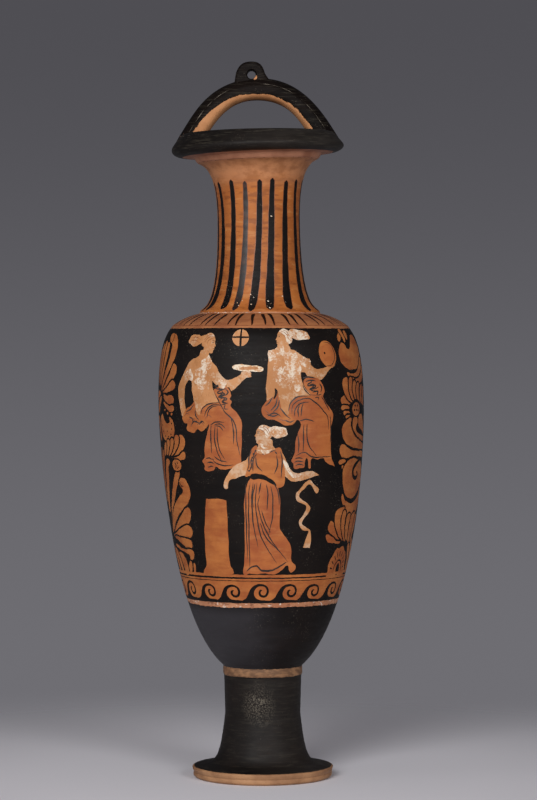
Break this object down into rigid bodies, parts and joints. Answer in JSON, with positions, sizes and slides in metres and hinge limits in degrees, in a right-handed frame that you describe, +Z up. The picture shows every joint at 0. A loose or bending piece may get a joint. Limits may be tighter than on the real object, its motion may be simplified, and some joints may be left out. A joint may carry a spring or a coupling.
{
  "type": "red-figure amphora",
  "caption": "Tall slender painted clay amphora on a hollow stemmed foot, with a wide lip and an arched bail handle with a pierced lug.",
  "frame": {"origin": "under the middle of the belly, on the surface the foot stands on", "axes": "+Z up, the bail handle spans along X, the painted front faces -Y"},
  "size_m": [0.1606, 0.1606, 0.5572],
  "materials": {
    "amphora": "black slip with a dull sheen over bare orange clay"
  },
  "bodies": {
    "root": {"amphora": "amphora"}
  },
  "joints": []
}
